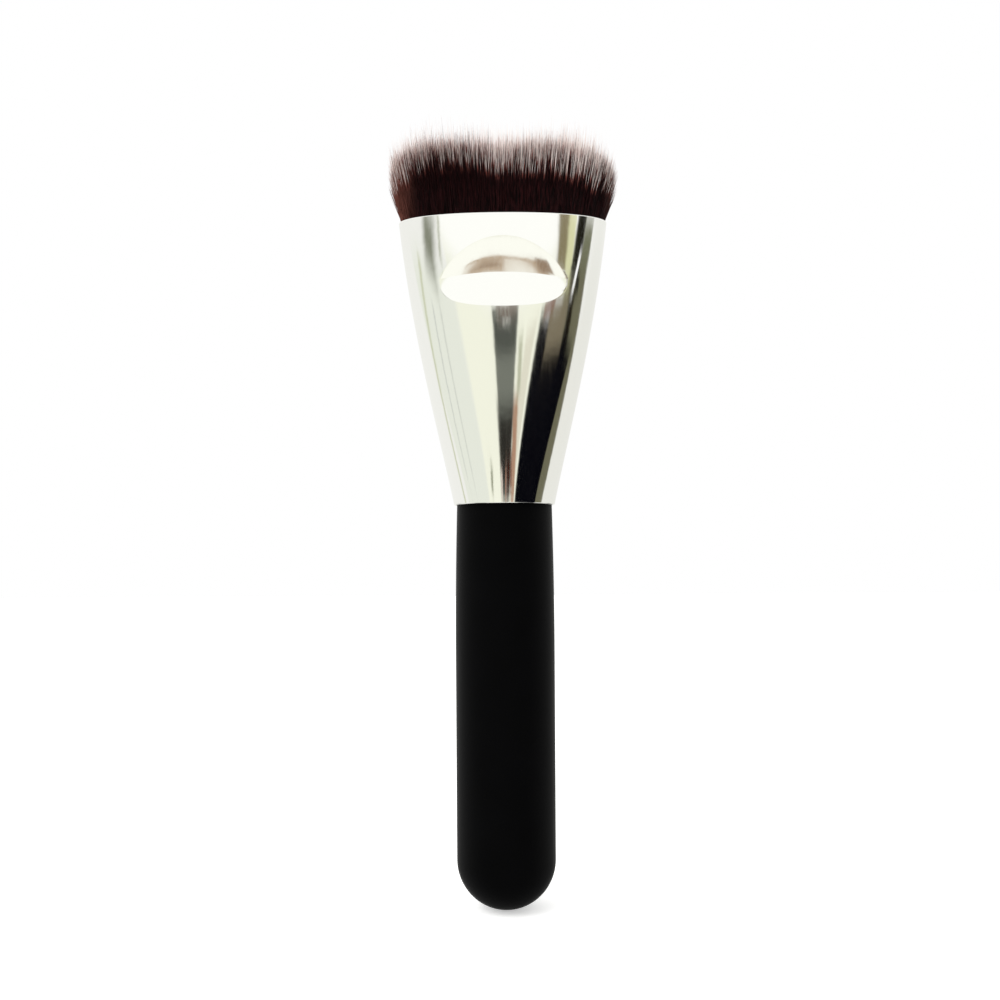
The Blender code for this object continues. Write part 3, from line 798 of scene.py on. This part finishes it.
cap_inset = INNER_FIT + FIBRE_RADIUS
cap_ring = [sheet_point(angle, ROOT_TOP, cap_inset) for angle in even_angles(ROOT_ROUND_STEPS)]
cap_mesh = bpy.data.meshes.new("root_top")
cap_mesh.from_pydata(cap_ring, [], [range(len(cap_ring))])
cap_half_width = max(point.x for point in cap_ring)
cap_half_depth = max(point.y for point in cap_ring)
cap_area = cap_mesh.polygons[0].area
print("longest fibre, mm:", in_mm(FIBRE_LENGTH))

# %% The fibre tree: feet and locks
comb, comb_inputs, given = new_tree("bristles", [
    ("Density", "Float", FIBRES_PER_PIECE / cap_area),
    ("Seed", "Int", 1),
    ("Lock Seed", "Int", 5),
    ("Lock Spacing", "Float", LOCK_SPACING),
    ("Lock Density", "Float", LOCK_TRIES / LOCK_SPACING**2),
    ("Lock Pull", "Float", 0.4),
    ("Length", "Float", FIBRE_LENGTH),
    ("Radius", "Float", FIBRE_RADIUS),
    ("Taper", "Float", 0.92),
    ("Bend", "Float", 1.05),
    ("Spread", "Vector", (0.135, 0.22, 0)),
    ("Sway", "Float", TIP_SWAY),
    ("Side Rounding", "Float", 0.10),
    ("Front Rounding", "Float", 0.04),
    ("Lock Ragged", "Float", 0.16),
    ("Dye Ragged", "Float", 0.45),
])
spot = add_node(comb, "GeometryNodeInputPosition")
feet = {"Mesh": given["Geometry"], "Density": given["Density"], "Seed": given["Seed"]}
feet = add_node(comb, "GeometryNodeDistributePointsOnFaces", feet)
locks = add_node(comb, "GeometryNodeDistributePointsOnFaces", distribute_method="POISSON")
plug(comb, locks, {"Mesh": given["Geometry"], "Seed": given["Lock Seed"]})
plug(comb, locks, {"Distance Min": given["Lock Spacing"], "Density Max": given["Lock Density"]})
lock = add_node(comb, "GeometryNodeSampleNearest", {"Geometry": locks, "Sample Position": spot})
lock_middle = add_node(comb, "GeometryNodeSampleIndex", data_type="FLOAT_VECTOR")
plug(comb, lock_middle, {"Geometry": locks, "Value": spot, "Index": lock})
print("inputs of the tree:", list(comb_inputs))

# %% How long each fibre is
unit_place = {0: spot, 1: (1 / cap_half_width, 1 / cap_half_depth, 0)}
unit_place = add_node(comb, "ShaderNodeVectorMath", unit_place, operation="MULTIPLY")
unit_axes = add_node(comb, "ShaderNodeSeparateXYZ", {0: unit_place})
across = {"Value": unit_axes.outputs["X"], "From Min": -1, "From Max": 1}
across = add_node(comb, "ShaderNodeMapRange", across)
skyline = add_node(comb, "ShaderNodeFloatCurve", {"Value": across})
dye_line = add_node(comb, "ShaderNodeFloatCurve", {"Value": across})
own_draw = add_node(comb, "FunctionNodeRandomValue", {"Min": 0, "Max": 1, "Seed": given["Seed"]})
own_share = add_node(comb, "ShaderNodeFloatCurve", {"Value": own_draw})
for curve, spots in ((skyline, SKYLINE), (own_share, LENGTHS), (dye_line, DYE_LINE)):
    marks = curve.mapping.curves[0].points
    marks[0].location, marks[1].location = spots[0], spots[-1]
    for place_share, height_share in spots[1:-1]:
        marks.new(place_share, height_share)
    curve.mapping.update()
lock_draw = {"Min": 0, "Max": 1, "ID": lock, "Seed": given["Lock Seed"]}
lock_draw = add_node(comb, "FunctionNodeRandomValue", lock_draw)
length_share = add_node(comb, "ShaderNodeMath", {0: skyline, 1: own_share}, operation="MULTIPLY")
losses = (
    (unit_axes.outputs["X"], SIDE_POWER, "Side Rounding"),
    (unit_axes.outputs["Y"], FRONT_POWER, "Front Rounding"),
    (lock_draw, LOCK_POWER, "Lock Ragged"),
)
for cause, power, amount in losses:
    loss = add_node(comb, "ShaderNodeMath", {0: cause, 1: power}, operation="POWER")
    loss = add_node(comb, "ShaderNodeMath", {0: loss, 1: given[amount]}, operation="MULTIPLY")
    length_share = add_node(comb, "ShaderNodeMath", {0: length_share, 1: loss}, operation="SUBTRACT")
length = add_node(comb, "ShaderNodeMath", {0: length_share, 1: given["Length"]}, operation="MULTIPLY")
print("losses of length:", len(losses))

# %% Which way it goes
fan = add_node(comb, "ShaderNodeVectorMath", {0: spot, 1: given["Spread"]}, operation="MULTIPLY")
to_lock = add_node(comb, "ShaderNodeVectorMath", {0: lock_middle, 1: spot}, operation="SUBTRACT")
pull = add_node(comb, "ShaderNodeVectorMath", {0: to_lock, "Scale": given["Lock Pull"]}, operation="SCALE")
drift = add_node(comb, "FunctionNodeRandomValue", data_type="FLOAT_VECTOR")
plug(comb, drift, {"Min": (-1, -1, 0), "Max": (1, 1, 0), "Seed": given["Seed"]})
drift = add_node(comb, "ShaderNodeVectorMath", {0: drift, "Scale": given["Sway"]}, operation="SCALE")
travel = add_node(comb, "ShaderNodeCombineXYZ", {"Z": length})
for part in (fan, pull, drift):
    travel = add_node(comb, "ShaderNodeVectorMath", {0: travel, 1: part}, operation="ADD")
print("most that a tip sways, mm:", in_mm(TIP_SWAY))

# %% How far up the dye goes, in whole steps, which is its tint
dye_draw = {"Min": 0, "Max": 1, "ID": lock, "Seed": given["Seed"]}
dye_draw = add_node(comb, "FunctionNodeRandomValue", dye_draw)
dyed = {0: dye_draw, 1: given["Dye Ragged"], 2: dye_line}
dyed = add_node(comb, "ShaderNodeMath", dyed, operation="MULTIPLY_ADD")
dyed = add_node(comb, "ShaderNodeMath", {0: dyed, 1: length_share}, operation="DIVIDE")
tint = {"Value": dyed, "From Min": LEAST_DYED_SHARE, "From Max": MOST_DYED_SHARE}
tint = add_node(comb, "ShaderNodeMapRange", tint)
tint = add_node(comb, "ShaderNodeClamp", {"Value": tint, "Min": 0, "Max": 1 - 1 / TINT_COUNT})
tint = add_node(comb, "ShaderNodeMath", {0: tint, 1: TINT_COUNT}, operation="MULTIPLY")
tint = add_node(comb, "ShaderNodeMath", {0: tint}, operation="FLOOR")
print("steps of the dye:", TINT_COUNT)

# %% The strand, placed on each foot, made real and moved
strand = add_node(comb, "GeometryNodeCurvePrimitiveLine", {"Start": (0, 0, 0), "End": (0, 0, MM)})
strand = add_node(comb, "GeometryNodeResampleCurve", {"Curve": strand, "Count": FIBRE_SEGMENTS + 1})
marked_strand = add_node(comb, "GeometryNodeCaptureAttribute")
marked_strand.capture_items.new("FLOAT", "Along")
plug(comb, marked_strand, {"Geometry": strand, "Along": add_node(comb, "GeometryNodeSplineParameter")})
marked_feet = add_node(comb, "GeometryNodeCaptureAttribute")
kept = (("VECTOR", "Foot", spot), ("VECTOR", "Travel", travel), ("FLOAT", "Tint", tint))
for kind, label, field in kept:
    marked_feet.capture_items.new(kind, label)
    plug(comb, marked_feet, {label: field})
plug(comb, marked_feet, {"Geometry": feet})
planted = {"Points": marked_feet.outputs["Geometry"], "Instance": marked_strand.outputs["Geometry"]}
planted = add_node(comb, "GeometryNodeInstanceOnPoints", planted)
planted = add_node(comb, "GeometryNodeRealizeInstances", {"Geometry": planted})
along = marked_strand.outputs["Along"]
bent = add_node(comb, "ShaderNodeMath", {0: along, 1: given["Bend"]}, operation="POWER")
stage = add_node(comb, "ShaderNodeCombineXYZ", {"X": bent, "Y": bent, "Z": along})
reach = {0: marked_feet.outputs["Travel"], 1: stage}
reach = add_node(comb, "ShaderNodeVectorMath", reach, operation="MULTIPLY")
goal = add_node(comb, "ShaderNodeVectorMath", {0: marked_feet.outputs["Foot"], 1: reach}, operation="ADD")
combed = add_node(comb, "GeometryNodeSetPosition", {"Geometry": planted, "Position": goal})
print("segments of a strand:", FIBRE_SEGMENTS)

# %% Its thickness and its UV map, and the tuft
along_squared = add_node(comb, "ShaderNodeMath", {0: along, 1: along}, operation="MULTIPLY")
loss = add_node(comb, "ShaderNodeMath", {0: along_squared, 1: given["Taper"]}, operation="MULTIPLY")
thickness = add_node(comb, "ShaderNodeMath", {0: 1, 1: loss}, operation="SUBTRACT")
section = {"Resolution": FIBRE_SIDES, "Radius": given["Radius"]}
section = add_node(comb, "GeometryNodeCurvePrimitiveCircle", section)
around = {0: add_node(comb, "GeometryNodeInputIndex"), 1: FIBRE_SIDES - 1}
around = add_node(comb, "ShaderNodeMath", around, operation="DIVIDE")
marked_section = add_node(comb, "GeometryNodeCaptureAttribute")
marked_section.capture_items.new("FLOAT", "Around")
plug(comb, marked_section, {"Geometry": section, "Around": around})
hair = {"Curve": combed, "Profile Curve": marked_section.outputs["Geometry"], "Scale": thickness}
hair = add_node(comb, "GeometryNodeCurveToMesh", hair)
map_x = {0: marked_section.outputs["Around"], 1: 1 - 2 * MAP_MARGIN, 2: marked_feet.outputs["Tint"]}
map_x = add_node(comb, "ShaderNodeMath", map_x, operation="MULTIPLY_ADD")
map_x = add_node(comb, "ShaderNodeMath", {0: map_x, 1: MAP_MARGIN}, operation="ADD")
map_x = add_node(comb, "ShaderNodeMath", {0: map_x, 1: TINT_COUNT}, operation="DIVIDE")
map_spot = add_node(comb, "ShaderNodeCombineXYZ", {"X": map_x, "Y": along})
mapped = add_node(comb, "GeometryNodeStoreNamedAttribute", data_type="FLOAT2", domain="CORNER")
plug(comb, mapped, {"Geometry": hair, "Name": UV_NAME, "Value": map_spot})
finish_tree(comb, mapped, fibre)

for i in range(TUFT_PIECES):
    name = f"bristles_{i + 1}"
    piece = grow(name, cap_mesh, comb, comb_inputs, {"Seed": i + 1}, fibre)
    belongs(piece, "bristle_tuft")
    print(name, "faces:", len(piece.data.polygons), [layer.name for layer in piece.data.uv_layers])

# %% [markdown]
# The binding is one length of waxed thread, wound four times round the root's waist. Thread is
# plied: three finer strands are twisted together. The route is a helix on the ferrule's rule.
# The tree makes it a curve, and each ply is a copy that runs round the route at its own angle.

# %% Route of the thread, and its finish
THREAD_TURNS = 4
THREAD_PITCH = 0.95 * MM
LOOP_STEPS = 96

route = []
route_low = thread_low.z + THREAD_DIAMETER / 2
route_inset = INNER_FIT + THREAD_DIAMETER / 2
for i in range(THREAD_TURNS * LOOP_STEPS + 1):
    turn = i / LOOP_STEPS
    route.append(sheet_point(math.tau * turn, route_low + THREAD_PITCH * turn, route_inset))

# Cotton thread, drawn through wax, so it is off-white with a dull shine.
waxed, tree, shader, place = new_material("waxed_cotton_thread")
YARN_HAIR = 0.08 * MM
YARN_DEPTH = 0.02 * MM
fuzz = add_node(tree, "ShaderNodeTexNoise", {"Vector": place, "Scale": 1 / YARN_HAIR, "Detail": 3})
tint = add_node(tree, "ShaderNodeMix", data_type="RGBA")
plug(tree, tint, {"Factor": fuzz, "A": linear("#c9c2ae"), "B": linear("#ece7d8")})
rough = add_node(tree, "ShaderNodeMapRange", {"Value": fuzz, "To Min": 0.45, "To Max": 0.7})
bump = add_node(tree, "ShaderNodeBump", {"Height": fuzz, "Strength": 0.5, "Distance": YARN_DEPTH})
plug(tree, shader, {"Base Color": tint, "Roughness": rough, "Normal": bump})
print("points on the route:", len(route))

# %% The winding
PLY_COUNT = 3
PLY_SHARE = 0.46
TWIST_LENGTH = 1.6 * MM
TWIST_STEPS = 8
PLY_SIDES = 6

winding, winding_inputs, given = new_tree("winding", [
    ("Thread Radius", "Float", THREAD_DIAMETER / 2),
    ("Twist Length", "Float", TWIST_LENGTH),
    ("Ply Share", "Float", PLY_SHARE),
])
path = add_node(winding, "GeometryNodeMeshToCurve", {"Mesh": given["Geometry"]})
path = {"Curve": path, "Length": TWIST_LENGTH / TWIST_STEPS}
path = add_node(winding, "GeometryNodeResampleCurve", path, mode="LENGTH")
ply_radius = {0: given["Thread Radius"], 1: given["Ply Share"]}
ply_radius = add_node(winding, "ShaderNodeMath", ply_radius, operation="MULTIPLY")
offset = {0: given["Thread Radius"], 1: ply_radius}
offset = add_node(winding, "ShaderNodeMath", offset, operation="SUBTRACT")
tangent = add_node(winding, "GeometryNodeInputTangent")
length = add_node(winding, "GeometryNodeSplineParameter").outputs["Length"]
turns = add_node(winding, "ShaderNodeMath", {0: length, 1: given["Twist Length"]}, operation="DIVIDE")
ply_section = {"Resolution": PLY_SIDES, "Radius": ply_radius}
ply_section = add_node(winding, "GeometryNodeCurvePrimitiveCircle", ply_section)
plies = add_node(winding, "GeometryNodeJoinGeometry")
for i in range(PLY_COUNT):
    phase = add_node(winding, "ShaderNodeMath", {0: turns, 1: i / PLY_COUNT}, operation="ADD")
    angle = add_node(winding, "ShaderNodeMath", {0: phase, 1: math.tau}, operation="MULTIPLY")
    side = add_node(winding, "ShaderNodeVectorRotate", rotation_type="AXIS_ANGLE")
    plug(winding, side, {"Vector": (0, 0, 1), "Axis": tangent, "Angle": angle})
    shift = add_node(winding, "ShaderNodeVectorMath", {0: side, "Scale": offset}, operation="SCALE")
    ply = add_node(winding, "GeometryNodeSetPosition", {"Geometry": path, "Offset": shift})
    ply = {"Curve": ply, "Profile Curve": ply_section, "Fill Caps": True}
    ply = add_node(winding, "GeometryNodeCurveToMesh", ply)
    plug(winding, plies, {"Geometry": ply})
finish_tree(winding, plies, waxed)

route_mesh = line_mesh("thread_route", route)
twist = {"Twist Length": TWIST_LENGTH}
thread = grow("wound_thread", route_mesh, winding, winding_inputs, twist, waxed)
belongs(thread, "binding_thread")
print("thread faces:", len(thread.data.polygons))

# %% [markdown]
# Two pieces keep their solids: the resin plug and the sleeve of adhesive. Their shapes are
# right, since both are fillings that take the form of what is round them. They only need the
# look of what they are: cast epoxy is clear amber and glossy, and set adhesive is duller, with
# small bubbles.

# %% Resin and adhesive
resin, tree, shader, place = new_material("cast_amber_resin")
SWIRL_SIZE = 4 * MM
swirl = add_node(tree, "ShaderNodeTexNoise", {"Vector": place, "Scale": 1 / SWIRL_SIZE, "Detail": 3})
tint = add_node(tree, "ShaderNodeMix", data_type="RGBA")
plug(tree, tint, {"Factor": swirl, "A": linear("#c9a15a"), "B": linear("#e2c98c")})
shine = add_node(tree, "ShaderNodeMapRange", {"Value": swirl, "To Min": 0.12, "To Max": 0.28})
plug(tree, shader, {"Base Color": tint, "Roughness": shine})

adhesive, tree, shader, place = new_material("set_epoxy_adhesive")
BUBBLE_SPACING = 1.2 * MM
BUBBLE_DEPTH = 0.05 * MM
bubbles = add_node(tree, "ShaderNodeTexVoronoi", {"Vector": place, "Scale": 1 / BUBBLE_SPACING})
pits = add_node(tree, "ShaderNodeMapRange", {"Value": bubbles, "From Max": 0.35})
tint = add_node(tree, "ShaderNodeMix", data_type="RGBA")
plug(tree, tint, {"Factor": pits, "A": linear("#a98b52"), "B": linear("#cdb783")})
bump = add_node(tree, "ShaderNodeBump", {"Height": pits, "Strength": 0.5, "Distance": BUBBLE_DEPTH})
plug(tree, shader, {"Base Color": tint, "Roughness": 0.4, "Normal": bump})

for node_name, finish in (("root_plug", resin), ("tenon_adhesive", adhesive)):
    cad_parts[node_name].material_slots[0].material = finish
    print(node_name, "is now", finish.name)
